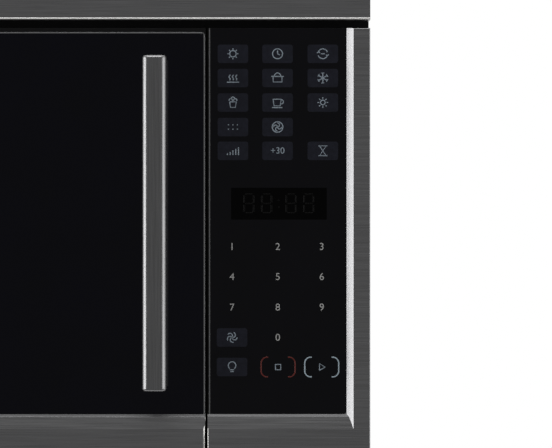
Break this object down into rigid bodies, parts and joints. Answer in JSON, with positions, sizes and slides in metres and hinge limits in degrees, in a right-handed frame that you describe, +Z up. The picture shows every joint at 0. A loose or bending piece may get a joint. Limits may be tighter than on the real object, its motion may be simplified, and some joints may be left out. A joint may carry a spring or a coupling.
{
  "type": "over-the-range microwave",
  "caption": "Over-the-range microwave oven with side-hinged black glass door, touch control panel, vent grille, turntable, convection fan and exhaust blower.",
  "frame": {"origin": "under the middle of the whole appliance, handle included, at the level of its underside", "axes": "+Z up, the door faces -Y, +X to the viewer's right, the wall is at +Y"},
  "size_m": [0.759, 0.45, 0.459],
  "materials": {
    "brushed_black_steel": "horizontal brushed satin with polished bevels",
    "black_glass": "gloss back-painted glass",
    "trim_steel": "polished edge strip",
    "handle_steel": "brushed satin",
    "case_paint": "fine satin powder coat",
    "zinc_steel": "galvanised sheet",
    "bright_zinc": "zinc plated",
    "cavity_enamel": "fine grey enamel",
    "face_paint": "satin paint",
    "mica": "layered mineral sheet",
    "clear_glass": "clear tempered glass",
    "frosted_lens": "frosted lens",
    "black_plastic": "moulded, fine grain",
    "white_plastic": "moulded, smooth",
    "filter_aluminium": "expanded mesh in a folded frame",
    "fin_aluminium": "stamped sheet",
    "charcoal": "granules behind open mesh",
    "circuit_board": "solder-masked laminate",
    "core_steel": "varnished laminations",
    "copper": "enamelled wire",
    "heater_sheath": "oxidised sheath",
    "rubber": "moulded",
    "spring_steel": "drawn wire",
    "screen_paint": "perforated and painted"
  },
  "bodies": {
    "chassis": {"wall_plate": "zinc_steel", "back_plate": "zinc_steel", "base_plate": "case_paint", "outer_case": "case_paint", "vent_grille": "brushed_black_steel", "front_frame": "face_paint", "oven_cavity": "cavity_enamel", "waveguide_cover": "mica", "waveguide": "zinc_steel", "magnetron": "fin_aluminium", "fan_motor": "core_steel", "fan_shroud": "zinc_steel", "component_tray": "zinc_steel", "transformer_core": "core_steel", "transformer_coil": "copper", "capacitor": "fin_aluminium", "turntable_motor": "bright_zinc", "convection_housing": "zinc_steel", "heater_element": "heater_sheath", "convection_motor": "core_steel", "blower_housing": "zinc_steel", "blower_motor": "core_steel", "damper_collar": "zinc_steel", "charcoal_filter": "charcoal", "lamp_lenses": "frosted_lens", "lamp_modules": "white_plastic", "cavity_lamp": "white_plastic", "control_frame": "brushed_black_steel", "control_glass": "black_glass", "panel_carrier": "black_plastic", "control_board": "circuit_board", "latch_board": "white_plastic", "interlock_switches": "black_plastic", "door_hinges": "bright_zinc", "cord_bushing": "rubber", "case_screws": "bright_zinc"},
    "door": {"door_frame": "brushed_black_steel", "door_glass": "black_glass", "glass_trim": "trim_steel", "door_inner_panel": "face_paint", "door_screen": "screen_paint", "door_pane": "clear_glass", "choke_cover": "black_plastic", "door_handle": "handle_steel", "latch_spring": "spring_steel"},
    "latch": {"latch_slide": "white_plastic"},
    "interlock": {"interlock_lever": "spring_steel"},
    "turntable": {"turntable_tray": "clear_glass", "drive_coupler": "white_plastic", "turntable_spindle": "bright_zinc"},
    "ring": {"roller_ring": "white_plastic"},
    "roller_a": {"roller_1": "white_plastic"},
    "roller_b": {"roller_2": "white_plastic"},
    "roller_c": {"roller_3": "white_plastic"},
    "vent_rotor": {"blower_wheels": "zinc_steel"},
    "cooling_rotor": {"cooling_fan": "white_plastic"},
    "convection_rotor": {"convection_fan": "fin_aluminium"},
    "damper": {"damper_flap": "bright_zinc"},
    "filter_left": {"grease_filter_left": "filter_aluminium"},
    "filter_right": {"grease_filter_right": "filter_aluminium"}
  },
  "joints": [
    {"name": "door_hinge", "type": "hinge", "parent": "chassis", "child": "door", "pos_m": [-0.3695, -0.162, 0], "axis": [0, 0, -1], "range_deg": [0, 110]},
    {"name": "latch_lift", "type": "slide", "parent": "door", "child": "latch", "axis": [0, 0, 1], "range_m": [0, 0.0045], "stiffness_N_per_m": 300, "springref_m": -0.006, "deforming": ["latch_spring"]},
    {"name": "interlock_press", "type": "hinge", "parent": "chassis", "child": "interlock", "pos_m": [0.213, -0.121, 0.112], "axis": [-1, 0, 0], "range_deg": [0, 6], "stiffness_Nm_per_rad": 0.03, "springref_deg": -5.73},
    {"name": "turntable_spin", "type": "hinge", "parent": "chassis", "child": "turntable", "pos_m": [-0.065, 0.012, 0.085], "axis": [0, 0, 1], "continuous": true},
    {"name": "ring_spin", "type": "hinge", "parent": "chassis", "child": "ring", "pos_m": [-0.065, 0.012, 0.0773], "axis": [0, 0, 1], "continuous": true},
    {"name": "roller_a_spin", "type": "hinge", "parent": "ring", "child": "roller_a", "pos_m": [-0.065, 0.107, 0.0773], "axis": [0, 1, 0], "continuous": true},
    {"name": "roller_b_spin", "type": "hinge", "parent": "ring", "child": "roller_b", "pos_m": [-0.14727, -0.0355, 0.0773], "axis": [-0.866, -0.5, 0], "continuous": true},
    {"name": "roller_c_spin", "type": "hinge", "parent": "ring", "child": "roller_c", "pos_m": [0.01727, -0.0355, 0.0773], "axis": [0.866, -0.5, 0], "continuous": true},
    {"name": "vent_spin", "type": "hinge", "parent": "chassis", "child": "vent_rotor", "pos_m": [0, 0.163, 0.374], "axis": [1, 0, 0], "continuous": true},
    {"name": "cooling_spin", "type": "hinge", "parent": "chassis", "child": "cooling_rotor", "pos_m": [0.2568, 0.155, 0.222], "axis": [0, 1, 0], "continuous": true},
    {"name": "convection_spin", "type": "hinge", "parent": "chassis", "child": "convection_rotor", "pos_m": [-0.065, 0.18, 0.1925], "axis": [0, 1, 0], "continuous": true},
    {"name": "damper_swing", "type": "hinge", "parent": "chassis", "child": "damper", "pos_m": [0, 0.1985, 0.442], "axis": [-1, 0, 0], "range_deg": [0, 75]},
    {"name": "filter_left_slide", "type": "slide", "parent": "chassis", "child": "filter_left", "axis": [1, 0, 0], "range_m": [0, 0.012]},
    {"name": "filter_right_slide", "type": "slide", "parent": "chassis", "child": "filter_right", "axis": [-1, 0, 0], "range_m": [0, 0.012]}
  ],
  "couplings": [
    {"joint": "ring_spin", "follows": "turntable_spin", "ratio": 0.5},
    {"joint": "roller_a_spin", "follows": "turntable_spin", "ratio": -6.7857},
    {"joint": "roller_b_spin", "follows": "turntable_spin", "ratio": -6.7857},
    {"joint": "roller_c_spin", "follows": "turntable_spin", "ratio": -6.7857}
  ]
}
